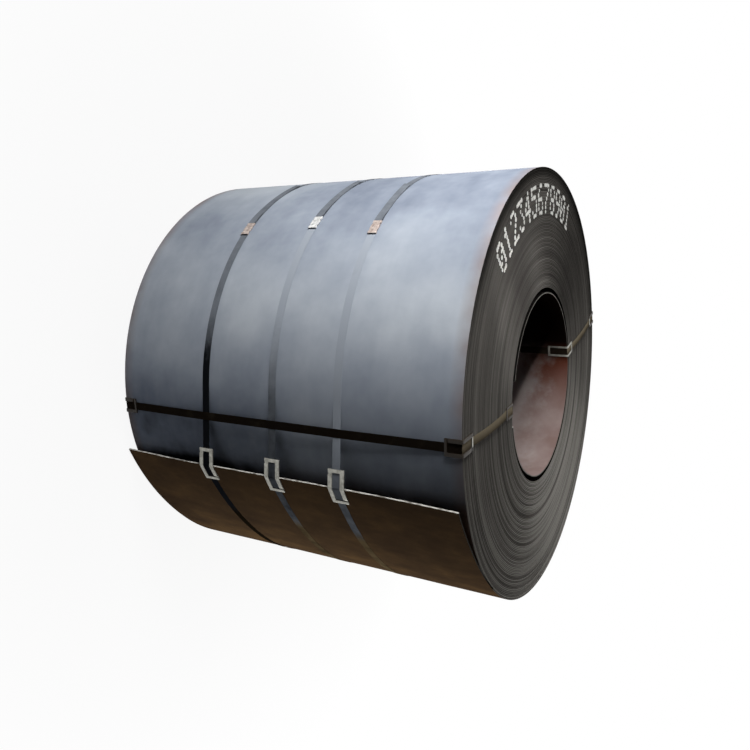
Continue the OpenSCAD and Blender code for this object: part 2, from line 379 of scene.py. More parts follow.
class Surface:
    """A material in the making: its shader, with plain values set, and the nodes that feed it"""

    def __init__(self, name, roughness, metallic=0.0, specular=0.0):
        self.material = bpy.data.materials.new(name)
        self.material.use_nodes = True
        self.tree = self.material.node_tree
        self.shader = self.tree.nodes["Principled BSDF"]
        self.shader.inputs["Roughness"].default_value = roughness
        self.shader.inputs["Metallic"].default_value = metallic
        self.shader.inputs["Specular IOR Level"].default_value = specular
        self.place = add(self.tree, "ShaderNodeTexCoord").outputs["Object"]

    def axis(self, k):
        return add(self.tree, "ShaderNodeSeparateXYZ", {0: self.place}).outputs[k]

    def drawn_out(self, scale):
        return add(self.tree, "ShaderNodeVectorMath", {0: self.place, 1: scale}, operation="MULTIPLY")

    def mark(self, name):
        """The value of a mesh attribute."""
        return add(self.tree, "ShaderNodeAttribute", attribute_name=name).outputs["Fac"]

    def noise(self, size, detail, roughness=0.5, place=None):
        inputs = {"Scale": per(size), "Detail": detail, "Roughness": roughness}
        return add(self.tree, "ShaderNodeTexNoise", inputs | {"Vector": place or self.place})

    def maths(self, operation, *values, **settings):
        return add(self.tree, "ShaderNodeMath", dict(enumerate(values)), operation=operation, **settings)

    def remap(self, value, start, end, low=0.0, high=1.0):
        inputs = {"Value": value, "From Min": start, "From Max": end, "To Min": low, "To Max": high}
        return add(self.tree, "ShaderNodeMapRange", inputs)

    def mix(self, share, first, second, **settings):
        return add(self.tree, "ShaderNodeMix", {"Factor": share, "A": first, "B": second}, **settings)

    def blend(self, share, first, second, **settings):
        """A mix of two colours."""
        return self.mix(share, first, second, data_type="RGBA", **settings)

    def ramp(self, value, *stops):
        return add(self.tree, "ShaderNodeValToRGB", {"Fac": value}, stops)

    def feed(self, socket, node):
        self.tree.links.new(next(o for o in node.outputs if o.enabled), self.shader.inputs[socket])

    def roughen(self, strength, depth, height):
        inputs = {"Strength": strength, "Distance": depth, "Height": height}
        self.feed("Normal", add(self.tree, "ShaderNodeBump", inputs))


def mill_scale(c):
    """Blue-grey scale of hot-rolled strip: satin and clouded, with faint bands round the coil and a worn rim.

    One attribute holds painted light and shade: it is 1 where the scale is painted palest and -1 where it is
    painted black as shade. The attribute oxide is 1 where the strip has lain in the open and is brown, and
    ochre is 1 where stains of ochre show on that.
    """
    metal = Surface("hot_rolled_mill_scale", roughness=0.6)
    # Clouds 300 mm across and bands 80 mm wide
    clouds = metal.noise(300, 4, 0.6)
    bands = metal.noise(80, 3, place=metal.drawn_out((0.12, 0.12, 1)))
    # Painted light and shade from the mesh set the tone, down to the black painted as shade
    tone = metal.maths("MULTIPLY_ADD", metal.mark("bloom"), 0.36, metal.mix(0.2, clouds, bands))
    tones = ((0.0, c.scale_black), (0.25, c.scale_dark), (0.55, c.scale), (0.9, c.scale_pale))
    scale = metal.ramp(tone, *tones)
    # The worn rim is some 40 mm wide
    rim = metal.remap(metal.maths("ABSOLUTE", metal.axis(2)), 0.7, 0.75, high=1.2)
    worn = metal.maths("MULTIPLY", rim, metal.noise(90, 3), use_clamp=True)
    scale = metal.blend(worn, scale, c.scale_worn)
    # Ochre stains 110 mm wide, drawn out a little along the strip's width
    stains = metal.noise(110, 6, 0.62, metal.drawn_out((1, 1, 0.5)))
    ochre = metal.maths("MULTIPLY_ADD", metal.mark("ochre"), 0.08, stains)
    tones = ((0.3, c.oxide_dark), (0.52, c.oxide), (0.78, c.oxide_pale))
    brown = metal.blend(0.6, metal.ramp(clouds, *tones), metal.ramp(ochre, *tones))
    metal.feed("Base Color", metal.blend(metal.mark("oxide"), scale, brown))
    # Scale grain, drawn 7 mm across because its real grain would not show
    metal.roughen(0.12, 2 * MM, metal.noise(7, 4, 0.65))
    return metal.material


def turn_edges(c):
    """Mill edges of the turns: dull grey-brown, each turn a little different, with a painted glint and shade
    round each end, and painted near black as shade in the gaps.

    The attribute tint is 1 where an edge is palest, by its own tone and the painted glint, and groove is 1
    where
    the near black is painted: in a gap, on the dark rim and on the innermost turn's outside.
    """
    metal = Surface("mill_edges_of_turns", roughness=0.65)
    tone = metal.mix(0.2, metal.mark("tint"), metal.noise(250, 5, 0.6))
    base = metal.ramp(tone, (0.1, c.edge_dark), (0.5, c.edge), (0.9, c.edge_pale))
    metal.feed("Base Color", metal.blend(metal.mark("groove"), base, c.gap))
    metal.roughen(0.2, MM, metal.noise(5, 3))
    return metal.material


def bore_scale(c):
    """Inside of the bore: pinkish-brown oxide, smooth deep inside, with rust that creeps in from the rims."""
    metal = Surface("rusted_bore_scale", roughness=0.55)
    base = metal.ramp(metal.noise(180, 4, 0.55), (0.35, c.bore), (0.65, c.bore_pale))
    # Rust reaches about 200 mm in, in patches 70 mm across
    rim = metal.remap(metal.maths("ABSOLUTE", metal.axis(2)), 0.5, 0.75, high=0.7)
    rust = metal.remap(metal.maths("ADD", rim, metal.noise(70, 5, 0.6)), 0.6, 1.0)
    # Rain has run in from above, so that the lower half is cleaner; down is along the standing coil's X axis
    washed = metal.remap(metal.axis(0), 0.2, -0.08, low=0.34)
    base = metal.blend(metal.maths("MULTIPLY", rust, washed), base, c.rust)
    # The upper part is painted black as shade, where the light does not reach
    painted_shadow = metal.remap(metal.axis(0), -0.05, -0.15, high=0.95)
    metal.feed("Base Color", metal.blend(painted_shadow, base, c.gap))
    metal.roughen(0.15, 2 * MM, metal.noise(10, 3))
    return metal.material


def sheared_steel(c):
    """Sheared end of the strip: bright where the blade cut, dull where the steel tore."""
    metal = Surface("sheared_steel", roughness=0.4, specular=0.5)
    metal.feed("Base Color", metal.ramp(metal.noise(25, 4, 0.6), (0.38, c.torn), (0.55, c.sheared)))
    return metal.material


def strapping(name, dark, pale, tint):
    """Cold-rolled strapping, blued or waxed: satin, paler where it is worn or painted lit, darker where it is
    painted in shade, tinted by the tail's oxide.

    An attribute of wear with painted light and shade, and one of oxide, say how much of each.
    """
    metal = Surface(name, roughness=0.45)
    tone = metal.maths("MULTIPLY_ADD", metal.noise(60, 4, 0.65), 0.35, metal.mark("rubbed"))
    base = metal.ramp(tone, (0.25, dark), (1.0, pale))
    metal.feed("Base Color", metal.blend(metal.mark("oxide"), base, tint, blend_type="MULTIPLY"))
    metal.feed("Roughness", metal.remap(metal.noise(12, 3), 0.0, 1.0, 0.35, 0.65))
    return metal.material


def pressed_sheet(name, dull, bright, metallic):
    """Pressed sheet steel: satin, scuffed in spots some 14 mm across."""
    metal = Surface(name, roughness=0.45, metallic=metallic, specular=0.2)
    metal.feed("Base Color", metal.ramp(metal.noise(14, 5, 0.6), (0.35, dull), (0.62, bright)))
    metal.roughen(0.2, 0.6 * MM, metal.noise(4, 2))
    return metal.material


def marking_paint(c):
    """Sprayed marking paint: matt white that lets the dull steel through in specks."""
    paint = Surface("matt_marking_paint", roughness=0.75, specular=0.3)
    paint.feed("Base Color", paint.ramp(paint.noise(9, 4, 0.65), (0.3, c.edge_pale), (0.5, c.paint)))
    return paint.material


def groups(context):
    """Sizes of the coil, the straps and the protectors, and the colours."""
    scene = context.scene
    return scene.coil_sizes, scene.coil_straps, scene.coil_guards, scene.coil_finishes


class Tail:
    """The sprung tail's arc about its own centre, and where a hoop strap meets it."""

    def __init__(self, coil, strap, guard):
        self.radius = coil.radius + coil.tail_spring
        self.centre = (coil.radius - coil.root - self.radius) * unit(coil.tail_angle)
        self.edge = coil.tail_angle - coil.tail_sweep
        self.root = coil.tail_angle
        self.lift = guard.tail_sheet + strap.seat
        self.guard_low = self.edge + guard.tail_leg / self.radius
        self.ramp_low = self.guard_low + guard.ramp / self.radius
        bend = self.at(self.lift + strap.seat, self.edge)
        self.touch = math.atan2(bend[1], bend[0]) % (2 * math.pi) - math.acos(coil.radius / math.hypot(*bend))

    def at(self, height, a):
        """A point at a height over the tail's outside."""
        return self.centre + (self.radius + height) * unit(a)


class COIL_OT_coil(bpy.types.Operator):
    """Build the wound strip: its turns' edges on both ends, the sprung tail and the loose innermost turn"""

    bl_idname = "coil.coil"
    bl_label = "Coil"

    SCALE, EDGES, BORE, SHEARED = range(4)
    # Angle in degrees from which an edge is sharp
    SHARP = 28
    # Steps round the coil, rows along the bore's wall and the outside, rows and columns of both strip ends
    STEPS, WALL_ROWS, OUTER_ROWS = 180, 6, 13
    TAIL_ROWS, TAIL_COLUMNS = 26, 61
    LEAD_ROWS, HEAD_ROWS, HEAD_COLUMNS = 40, 150, 9
    # Seeds of the turns by end, and of the ripples of edges, left edges, streaks, outside and sheared end
    TURN_SEEDS = {1: 7, -1: 8}
    EDGE_SEED, LEFT_SEED, STREAK_SEED, OUTER_SEED, SHEAR_SEED = 100, 500, 900, 4000, 5
    # Painted light and shade on the scale: its level, and areas by angle, spread and strength, all along and
    # at the left alone
    BLOOM = -0.2
    BLOOM_ALONG = ((2.76, 0.4, 1.0),)
    BLOOM_LEFT = ((1.75, 0.35, 1.4), (3.3, 0.4, -0.6))
    LEFT_START, LEFT_FADE = 0.2, 0.7
    # Painted shadow of the tail, behind it and a little above its edge: where it starts, its flanks and its
    # strength
    BLACK_START, BLACK_RISE, BLACK_FALL, BLACK = 3.41, 0.08, 0.2, 1.2
    # Brown and ochre on the outermost turn, from the tail's root: start, rise, end and fall
    BROWN = (-0.25, 0.2, 0.9, 0.5)
    OCHRE = (-0.3, 0.3, 0.25, 0.2)
    # Painted glint and shade on an end, as its tone: its level, its swings by waves in a turn, size and
    # angle, and its duller parts by angle, spread and loss
    GLINT = 0.605
    GLINT_SWINGS = ((1, 0.25, 4.74), (2, 0.1, 1.98))
    GLINT_DULL = ((2.25, 0.33, 0.3), (0.95, 0.35, 0.22))
    # The dark rim: its strength, middle and flank, and the shares of the turns where it starts and rises
    RIM, RIM_ANGLE, RIM_FALL, RIM_START, RIM_RISE = 0.8, 1.5, 0.6, 0.84, 0.14
    # How a turn's edge drifts from turn to turn, and the shares of that drift and of chance in its depth
    DRIFT, DRIFT_SHARE, CHANCE_SHARE = 0.45, 0.55, 0.45
    # How much the turns differ in tone, and each one along its way
    TURN_SPREAD, TURN_STREAKS = 0.22, 0.35
    # Bevels of a turn's edge as shares of its thickness, and the outermost one's
    BEVEL_IN, BEVEL_OUT, BEVEL_LAST = 0.17, 0.83, 0.93
    # Smallest step at a rim, waviness of a turn's edge and of the outermost turn
    STEP, WAVE, SAG = 0.4 * MM, 0.5 * MM, 0.8 * MM
    # Waviness of the sheared edge, and the length after which it repeats
    UNEVEN, UNEVEN_LENGTH = 1.2 * MM, 0.4

    def execute(self, context):
        coil, strap, guard, c = groups(context)
        self.points, self.faces, self.slots, self.count = [], [], [], 0
        self.marks = {"groove": [], "tint": [], "oxide": [], "bloom": [], "ochre": []}
        self.wound(coil)
        self.tail(coil, Tail(coil, strap, guard))
        self.head(coil)
        materials = [mill_scale(c), turn_edges(c), bore_scale(c), sheared_steel(c)]
        obj = make_object("wound_coil", np.concatenate(self.points), self.faces, materials, self.slots)
        smooth_shade(obj.data, self.SHARP)
        for name, values in self.marks.items():
            set_attribute(obj, name, np.concatenate(values))
        settle(obj, "coil")
        return {"FINISHED"}

    def grid(self, points, slots, round_columns, **marks):
        """Adds rows of points, which close on themselves, as quads; slots gives each row's material."""
        rows, columns = points.shape[:2]
        index = np.arange(rows * columns).reshape(rows, columns) + self.count
        below = np.roll(index, -1, 0)
        quads = np.stack([index, np.roll(index, -1, 1), np.roll(below, -1, 1), below], -1)
        if not round_columns:
            quads = quads[:, :-1]
        self.faces += quads.reshape(-1, 4).tolist()
        self.slots += np.repeat(slots, quads.shape[1]).tolist()
        self.points.append(points.reshape(-1, 3))
        for name, values in self.marks.items():
            values.append(np.broadcast_to(marks.get(name, 0.0), (rows, columns)).reshape(-1))
        self.count += rows * columns

    def wound(self, coil):
        """The tight turns as rows round the bore: its wall, the right end, the outside and the left end.

        A row has its radius, its place along the bore, its material, and its groove, tint and oxide.
        """
        a = np.arange(self.STEPS) * 2 * math.pi / self.STEPS
        half, deep = coil.width / 2, coil.width / 2 - coil.groove
        rows = [(coil.wound, x, self.EDGES, 1, 0, 0) for x in np.linspace(-deep, deep, self.WALL_ROWS)[:-1]]
        rows += self.end(coil, a, 1)
        # The outermost turn is brown below the tail, where it has lain in the open too
        brown = between(a - coil.tail_angle, *self.BROWN)
        for x in np.linspace(half - self.STEP, -half + self.STEP, self.OUTER_ROWS):
            wave = ripple(a, self.OUTER_SEED + round(x / MM), (1, 2, 3, 6)) - 1
            sag = self.SAG * wave * math.cos(x / half * math.pi / 2)
            rows.append((coil.radius + sag, x, self.SCALE, 0, 0, brown))
        rows[-1] = rows[-1][:2] + (self.EDGES,) + rows[-1][3:]
        rows += self.end(coil, a, -1)
        r, x, groove, tint, oxide = (
            np.array([np.broadcast_to(row[k], self.STEPS) for row in rows]) for k in (0, 1, 3, 4, 5)
        )
        marks = {"groove": groove, "tint": tint, "oxide": oxide}
        # Painted light and shade on the scale, with the tail's painted shadow
        marks["bloom"] = self.bloom(coil, a, x)
        marks["ochre"] = between(a - coil.tail_angle, *self.OCHRE)
        self.grid(ring(r, a, x), [row[2] for row in rows], True, **marks)

    def bloom(self, coil, a, x):
        """Painted light and shade: pale along the front and over the top at the left, black as shade low at
        the left, and a painted shadow by the tail's edge.
        """
        along, at_left = (
            sum(strength * hump(a, at, spread) for at, spread, strength in areas)
            for areas in (self.BLOOM_ALONG, self.BLOOM_LEFT)
        )
        left = smooth((self.LEFT_START - x) / self.LEFT_FADE)
        black = between(a, self.BLACK_START, self.BLACK_RISE, coil.tail_angle, self.BLACK_FALL)
        return self.BLOOM + along + left * at_left - self.BLACK * black

    def end(self, coil, a, side):
        """The turns' edges on one end, from the bore outwards on the right and inwards on the left."""
        half = coil.width / 2
        turns = round((coil.radius - coil.wound) / coil.strip)
        pitch = (coil.radius - coil.wound) / turns
        rng = np.random.default_rng(self.TURN_SEEDS[side])
        slow = np.cumsum(rng.normal(0, self.DRIFT, turns))
        slow = (slow - slow.min()) / np.ptp(slow)
        # A painted glint and shade: the end is palest low at the rear and duller at two places high up, and
        # its rim is dark over the top
        glint = self.GLINT + sum(size * np.cos(waves * (a - at)) for waves, size, at in self.GLINT_SWINGS)
        glint -= sum(less * hump(a, at, spread) for at, spread, less in self.GLINT_DULL)
        dark = self.RIM * smooth(np.cos(a - self.RIM_ANGLE) / self.RIM_FALL)
        rows = []
        for i in range(turns):
            last = i == turns - 1
            wave = ripple(a, self.EDGE_SEED + i + self.LEFT_SEED * (side < 0), (1, 2, 3, 5, 8))
            scatter = self.DRIFT_SHARE * slow[i] + self.CHANCE_SHARE * rng.uniform()
            depth = coil.scatter * scatter + self.WAVE * wave
            depth = 0.0 if last else np.clip(depth, 0, coil.groove - self.STEP)
            streaks = self.TURN_STREAKS * ripple(a, self.STREAK_SEED + i, (1, 2, 3, 4, 7))
            tint = np.clip(glint * (rng.normal(1.0, self.TURN_SPREAD) + streaks), 0, 1)
            rim = dark * smooth((i / turns - self.RIM_START) / self.RIM_RISE)
            r = coil.wound + i * pitch
            rows.append((r, side * (half - coil.groove), self.EDGES, 1, 0, 0))
            for bevel in (self.BEVEL_IN, self.BEVEL_LAST if last else self.BEVEL_OUT):
                rows.append((r + bevel * pitch, side * (half - depth), self.EDGES, rim, tint, 0))
        return rows[::side]

    def plate(self, outer, inner, x, outside, inside, **marks):
        """A closed bent plate: its two faces as rows of (u, v), with stations along the bore."""
        n, m = len(outer), len(x)
        loop = np.concatenate([outer, inner[::-1]])
        points = stand(loop[:, None, 0], loop[:, None, 1], x)
        slots = [outside] * (n - 1) + [self.SHEARED] + [inside] * (n - 1) + [self.SHEARED]
        first = self.count
        self.grid(points, slots, False, **marks)
        for column, turn in ((0, 1), (m - 1, -1)):
            for k in range(n - 1):
                quad = [first + row * m + column for row in (k, k + 1, 2 * n - 2 - k, 2 * n - 1 - k)]
                self.faces.append(quad[::turn])
                self.slots.append(self.EDGES)

    def tail(self, coil, tail):
        a = np.linspace(tail.edge, tail.root, self.TAIL_ROWS)
        x = np.linspace(-coil.width / 2, coil.width / 2, self.TAIL_COLUMNS)
        low = smooth(np.linspace(-1.5, 1, len(a)))
        low = np.concatenate([low, low[::-1]])[:, None]
        outer, inner = tail.at(0, a), tail.at(-coil.strip, a)
        self.plate(outer, inner, x, self.SCALE, self.SCALE, oxide=1.0, ochre=low, tint=0.1)
        # The right corner springs out and the left one in, and the sheared edge is not quite straight
        points = self.points[-1].reshape(2 * len(a), len(x), 3)
        share = np.linspace(1, 0, len(a))
        share = np.concatenate([share, share[::-1]])[:, None, None]
        lean = np.clip((np.abs(x) - coil.flare_start) / (coil.width / 2 - coil.flare_start), 0, 1) ** 1.5
        lean = (np.sign(x) * lean * coil.tail_flare)[None, :, None]
        turns = x * 2 * math.pi / self.UNEVEN_LENGTH
        uneven = self.UNEVEN * ripple(turns, self.SHEAR_SEED, (1, 3, 7, 15))
        uneven = share**12 * uneven[None, :, None] * ring(1, tail.edge - math.pi / 2, 0)
        points += share**2 * lean * ring(1, tail.edge, 0) + uneven

    def head(self, coil):
        """The innermost turn leaves the tight ones on a tighter arc until it meets its own circle."""
        lead_r = coil.wound - coil.head_ease
        off = coil.head_ease + coil.root
        head_r = coil.bore + coil.strip
        sweep = math.acos((head_r**2 - off**2 - lead_r**2) / (2 * off * lead_r))
        meet = math.atan2(lead_r * math.sin(sweep), off + lead_r * math.cos(sweep))
        centre = off * unit(coil.head_angle)
        lead = coil.head_angle + np.linspace(0, sweep, self.LEAD_ROWS)[:-1]
        rest = np.linspace(coil.head_angle + meet, coil.head_end, self.HEAD_ROWS)
        outer, inner = (
            np.concatenate([centre + (lead_r - t) * unit(lead), (head_r - t) * unit(rest)])
            for t in (0, coil.strip)
        )
        x = np.linspace(-coil.width / 2, coil.width / 2, self.HEAD_COLUMNS)
        # Its outside lies in the gap to the tight turns, where it is painted near black as shade
        gap = np.repeat([1.0, 0.0], len(outer))[:, None]
        self.plate(outer, inner, x, self.EDGES, self.BORE, groove=gap, tint=0.9)


# Rounding of a strap's edges, and the sides of a dot of paint
ROUNDING, DOT_SIDES = 0.25 * MM, 12


def new_tree(name, result, inputs):
    """A tree of Geometry Nodes with its sockets, and the outputs of its input node."""
    tree = bpy.data.node_groups.new(name, "GeometryNodeTree")
    for socket, kind in inputs.items():
        tree.interface.new_socket(socket, in_out="INPUT", socket_type="NodeSocket" + kind)
    tree.interface.new_socket(result, in_out="OUTPUT", socket_type="NodeSocketGeometry")
    return tree, add(tree, "NodeGroupInput").outputs


def close_tree(tree, geometry, finish):
    real = add(tree, "GeometryNodeRealizeInstances", {0: geometry})
    done = add(tree, "GeometryNodeSetMaterial", {"Geometry": real, "Material": finish})
    add(tree, "NodeGroupOutput", {0: done})
    return tree


def sweep_tree():
    """Node tree that sweeps a strap's rounded section along a line."""
    inputs = {"Line": "Geometry", "Along Normal": "Float", "Across": "Float", "Finish": "Material"}
    tree, given = new_tree("strap_sweep", "Strap", inputs)
    size = {"Width": given["Along Normal"], "Height": given["Across"]}
    section = add(tree, "GeometryNodeCurvePrimitiveQuadrilateral", size)
    rounding = {"Curve": section, "Radius": ROUNDING, "Count": 1}
    section = add(tree, "GeometryNodeFilletCurve", rounding, mode="POLY")
    line = add(tree, "GeometryNodeMeshToCurve", {"Mesh": given["Line"]})
    along = {"Curve": line, "Profile Curve": section, "Fill Caps": True}
    return close_tree(tree, add(tree, "GeometryNodeCurveToMesh", along), given["Finish"])


def dots_tree():
    """Node tree that sets a low round dot of paint on every point."""
    inputs = {"Points": "Geometry", "Radius": "Float", "Height": "Float", "Smallest": "Float", "Seed": "Int"}
    tree, given = new_tree("paint_dots", "Dots", inputs | {"Finish": "Material"})
    round_dot = {"Vertices": DOT_SIDES, "Radius": given["Radius"], "Depth": given["Height"]}
    dot = add(tree, "GeometryNodeMeshCylinder", round_dot)
    size = add(tree, "FunctionNodeRandomValue", {"Min": given["Smallest"], "Max": 1.0, "Seed": given["Seed"]})
    on_points = {"Points": given["Points"], "Instance": dot, "Scale": size}
    return close_tree(tree, add(tree, "GeometryNodeInstanceOnPoints", on_points), given["Finish"])


def grow(name, points, edges, tree, values):
    """Runs a node tree on a line or cloud of points; the result is a plain mesh in an object."""
    obj = make_object(name, points, [], [])
    obj.data.edges.add(len(edges))
    obj.data.edges.foreach_set("vertices", np.asarray(edges, np.int32).reshape(-1))
    modifier = obj.modifiers.new("grow", "NODES")
    modifier.node_group = tree
    for item in tree.interface.items_tree:
        if item.in_out == "INPUT" and item.name in values:
            modifier[item.identifier] = values[item.name]
    obj.data = applied(obj)
    obj.data.name = name
    turn_outward(obj.data)
    smooth_shade(obj.data)
    return obj


def swept_strap(name, points, closed, along_normal, across, finish):
    n = len(points)
    edges = [(i, (i + 1) % n) for i in range(n if closed else n - 1)]
    tree = bpy.data.node_groups.get("strap_sweep") or sweep_tree()
    return grow(name, points, edges, tree, {"Along Normal": along_normal, "Across": across, "Finish": finish})


def join(first, second):
    """Adds the second object's mesh to the first one's."""
    work = bmesh.new()
    work.from_mesh(first.data)
    work.from_mesh(second.data)
    work.to_mesh(first.data)
    work.free()
    bpy.data.objects.remove(second)


class COIL_OT_hoop_straps(bpy.types.Operator):
    """Build the three straps round the coil, each with its doubled end above the seal"""

    bl_idname = "coil.hoop_straps"
    bl_label = "Hoop Straps"

    # How much each strap is painted paler below its seal and on the tail, as worn bluing and as painted light
    # that fades to painted shade lower down, the angle where that changes, and over which angle before it
    RUBBED = {
        "left": (0.42, 0.0, 3.05, 0.3),
        "middle": (0.86, 0.22, 3.35, 0.65),
        "right": (0.86, 0.27, 3.62, 0.5),
    }
    # How much it is painted paler above the seal, as worn bluing and painted light, and the angle at which
    # that starts
    RUBBED_ABOVE, ABOVE_START = 0.4, 0.5
    # Angle over which the tail's oxide comes in below its protector
    OXIDE_RISE = 0.1
    # Each lap's length as a share of the usual one
    LAPS = {"left": 1.3, "middle": 1.25, "right": 1.0}
    # Points round the coil, and again about the tail with a margin in radians; points along a lap
    POINTS, MARGIN, LAP_POINTS = 240, 0.02, 60
    # A lap's rise behind its seal: height as a share of the lift, place and spread as shares of the lap
    RISE, RISE_AT, RISE_SPREAD = 0.9, 0.1, 0.22
    # Length at a lap's end that its slanted cut takes in
    CUT = 2 * MM

    def execute(self, context):
        coil, strap, guard, c = groups(context)
        finish = strapping("blued_strapping", c.strap_dark, c.strap_pale, c.strap_tint)
        tail = Tail(coil, strap, guard)
        line = self.line(coil, strap, tail)
        for hoop in HOOPS:
            x, seal = middle("hoop_strap_" + hoop).z, angle_of("hoop_seal_" + hoop)
            rubbed, least, low, fade = self.RUBBED[hoop]
            points = stand(line[:, 0], line[:, 1], x)
            piece = swept_strap("strap_round_" + hoop, points, True, strap.thickness, strap.width, finish)
            join(piece, self.lap(coil, strap, strap.lap * self.LAPS[hoop], seal, x, finish))
            places = np.array([v.co for v in piece.data.vertices])
            turn = np.arctan2(-places[:, 0], places[:, 1]) % (2 * math.pi)
            # Worn bluing with painted light and shade: paler high on the coil, darker lower down and on the
            # tail
            above = self.RUBBED_ABOVE * smooth(turn - self.ABOVE_START)
            below = least + (rubbed - least) * smooth((low - turn) / fade)
            set_attribute(piece, "rubbed", np.where(turn < seal, above, below))
            set_attribute(piece, "oxide", smooth((turn - tail.guard_low) / self.OXIDE_RISE))
            settle(piece, "hoop_strap_" + hoop)
        return {"FINISHED"}

    def line(self, coil, strap, tail):
        """The middle line: round the coil, straight to the tail's edge, over the protector, down the tail."""
        o = strap.seat + strap.thickness / 2
        fine = np.linspace(tail.touch - self.MARGIN, tail.root + self.MARGIN, self.POINTS)
        whole = np.linspace(0, 2 * math.pi, self.POINTS, endpoint=False)
        a = np.unique(np.concatenate([whole, fine]))
        way = unit(a)
        r = np.full(len(a), coil.radius + o)
        for height, low in ((o, tail.root), (tail.lift + o, tail.guard_low)):
            to_centre = way @ tail.centre
            square = (tail.radius + height) ** 2 - tail.centre @ tail.centre + to_centre**2
            reach = to_centre + np.sqrt(square)
            turn = (reach[:, None] * way - tail.centre).T
            turn = np.arctan2(turn[1], turn[0]) % (2 * math.pi)
            r = np.where((turn >= tail.edge) & (turn <= low), np.maximum(r, reach), r)
        for start, end in (
            ((coil.radius + o) * unit(tail.touch), tail.at(tail.lift + o, tail.edge)),
            (tail.at(tail.lift + o, tail.guard_low), tail.at(o, tail.ramp_low)),
        ):
            run = end - start
            share = (way[:, 1] * start[0] - way[:, 0] * start[1]) / (way[:, 0] * run[1] - way[:, 1] * run[0])
            reach = np.sum((start + share[:, None] * run) * way, 1)
            r = np.where((share >= 0) & (share <= 1), np.maximum(r, reach), r)
        return r[:, None] * way

    def lap(self, coil, strap, reach, seal, x, finish):
        """The doubled end: it leaves its seal over the strap, dips to it and springs off at its cut."""
        s = np.linspace(-strap.seal_length / 2, reach, self.LAP_POINTS)
        share = np.clip(s / reach, 0, 1)
        lift = strap.lap_lift * (self.RISE * hump(share, self.RISE_AT, self.RISE_SPREAD) + share**5)
        lift *= smooth(s / strap.seal_length + 0.5)
        r = coil.radius + 2 * strap.seat + 1.5 * strap.thickness + lift
        points = ring(r, seal - s / coil.radius, x)
        piece = swept_strap("lap", points, False, strap.thickness, strap.width, finish)
        for vertex in piece.data.vertices:
            here = (seal - math.atan2(-vertex.co.x, vertex.co.y)) * coil.radius
            if here > reach - self.CUT:
                slide = (vertex.co.z - x) / strap.width * strap.lap_slant / coil.radius
                vertex.co = Matrix.Rotation(slide, 3, "Z") @ vertex.co
        return piece


class COIL_OT_seals(bpy.types.Operator):
    """Build the crimped sleeves on the straps"""

    bl_idname = "coil.seals"
    bl_label = "Seals"

    # How much a crimp narrows and flattens a seal, and its length along the strap
    PINCH, FLATTEN, CRIMP = 0.16, 0.14, 3.2 * MM
    # Room beside the strap, and the radius of a seal's corners
    ROOM, CORNER = 0.7 * MM, 2.6 * MM
    # Most of a low seal's height that its corners may take, and rows along a seal and in a corner
    CORNER_SHARE, ROWS, CORNER_ROWS = 0.6, 45, 5

    def execute(self, context):
        coil, strap, _, c = groups(context)
        finish = pressed_sheet("copper_washed_seal", c.seal, c.seal_pale, 0.1)
        finishes = {"middle": pressed_sheet("zinc_coated_seal", c.silver, c.silver_pale, 0.1)}
        for hoop in HOOPS:
            a, x = angle_of("hoop_seal_" + hoop), middle("hoop_seal_" + hoop).z
            s, w, h = self.sleeve(strap, strap.seal_height)
            points = ring(coil.radius + 2 * strap.seat + h, a + s / coil.radius, x + w)
            self.build("crimp_seal_hoop_" + hoop, points, finishes.get(hoop, finish), "hoop_seal_" + hoop)
        for eye in EYES:
            node = "eye_seal_" + eye
            low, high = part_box(node)
            place = middle(node)
            out, across = unit(angle_of(node)), unit(angle_of(node) + math.pi / 2)
            s, w, h = self.sleeve(strap, high.z - low.z)
            u, v = (out[k] * (math.hypot(place.x, place.y) + s) + across[k] * w for k in (0, 1))
            self.build("crimp_seal_eye_" + eye, stand(u, v, high.z - h), finish, node)
        return {"FINISHED"}

    def sleeve(self, strap, high):
        """An upturned channel of sheet with two pairs of crimps: places along, across and above the strap."""
        half = strap.width / 2 + self.ROOM + strap.seal_sheet
        corner = min(self.CORNER, self.CORNER_SHARE * high)
        turn = np.linspace(0, math.pi / 2, self.CORNER_ROWS)
        arc = np.stack([half - corner + corner * np.cos(turn), high - corner + corner * np.sin(turn)], 1)
        outer = np.concatenate([[[half, 0]], arc, (arc * [-1, 1])[::-1], [[-half, 0]]])
        inner = outer * [1 - strap.seal_sheet / half, 1 - strap.seal_sheet / high]
        loop = np.concatenate([outer, inner[::-1]])
        s = np.linspace(-0.5, 0.5, self.ROWS)[:, None] * strap.seal_length
        pinch = sum(hump(s, k * strap.seal_length / 4, self.CRIMP) for k in (-1, 1))
        return s, loop[:, 0] * (1 - self.PINCH * pinch), loop[:, 1] * (1 - self.FLATTEN * pinch)

    def build(self, name, points, finish, node):
        n, m = points.shape[:2]
        index = np.arange(n * m).reshape(n, m)
        across = np.roll(index, -1, 1)
        faces = np.stack([index[:-1], across[:-1], across[1:], index[1:]], -1).reshape(-1, 4).tolist()
        for row in (index[0], index[-1]):
            faces += [(row[j], row[j + 1], row[m - 2 - j], row[m - 1 - j]) for j in range(m // 2 - 1)]
        piece = make_object(name, points.reshape(-1, 3), faces, [finish])
        turn_outward(piece.data)
        smooth_shade(piece.data)
        settle(piece, node)


class Sheet(NamedTuple):
    """Sizes of a hooked protector: its two legs, its width, the strap's channel, its plate, bars and slots"""

    legs: tuple
    width: float
    channel: float
    plate: float
    under: float
    top: float
    bar: float
    slot: float


# Inner radius of the bend of every protector, rows in it, and the bevel of the edges sharper than an angle
BEND, BEND_ROWS, BEVEL, BEVEL_ANGLE = 1.6 * MM, 6, 0.4 * MM, math.radians(40)


